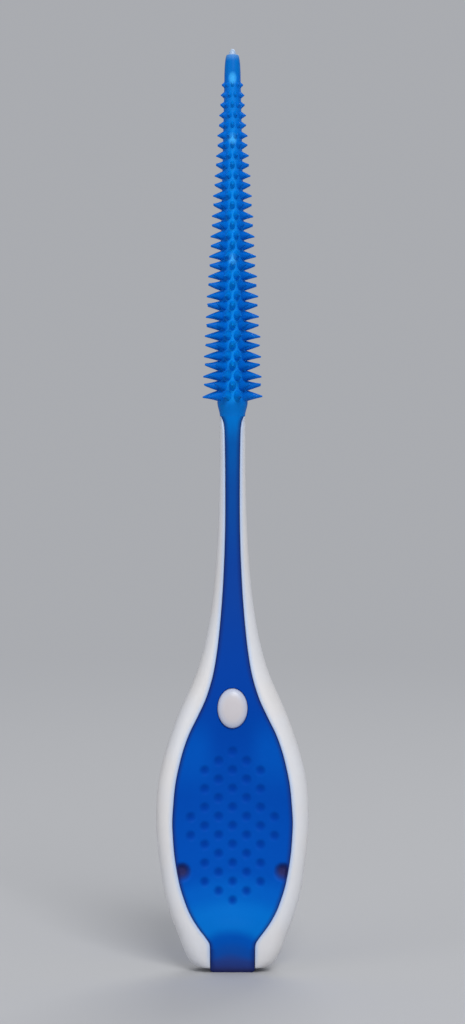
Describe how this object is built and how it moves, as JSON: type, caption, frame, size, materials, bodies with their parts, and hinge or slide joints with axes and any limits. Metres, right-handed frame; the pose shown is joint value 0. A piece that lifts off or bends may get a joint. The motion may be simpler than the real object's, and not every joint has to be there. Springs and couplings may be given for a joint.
{
  "type": "interdental brush",
  "caption": "Slim hand brush for the gaps between teeth: oval grip frame with dished soft pads, narrow neck and a tapered soft-bristled tip.",
  "frame": {"origin": "on the surface it stands on, under the middle of the part's box, at the middle of the flat end of the handle", "axes": "+Z along the brush from the handle's flat end to the tip of the needle, +X to the right across the width of the frame, -Y out of the dished front pad"},
  "size_m": [0.0088, 0.0034, 0.0535],
  "materials": {
    "carrier": "satin white polypropylene",
    "grip": "soft blue elastomer with a fine matt skin",
    "inlay": "soft royal blue elastomer",
    "brush": "soft azure elastomer, slightly translucent"
  },
  "bodies": {
    "root": {"carrier": "carrier", "front_grip_pad": "grip", "rear_grip_pad": "grip", "neck_inlay": "inlay", "end_tab": "inlay", "brush_sleeve": "brush", "bristles": "brush"}
  },
  "joints": []
}
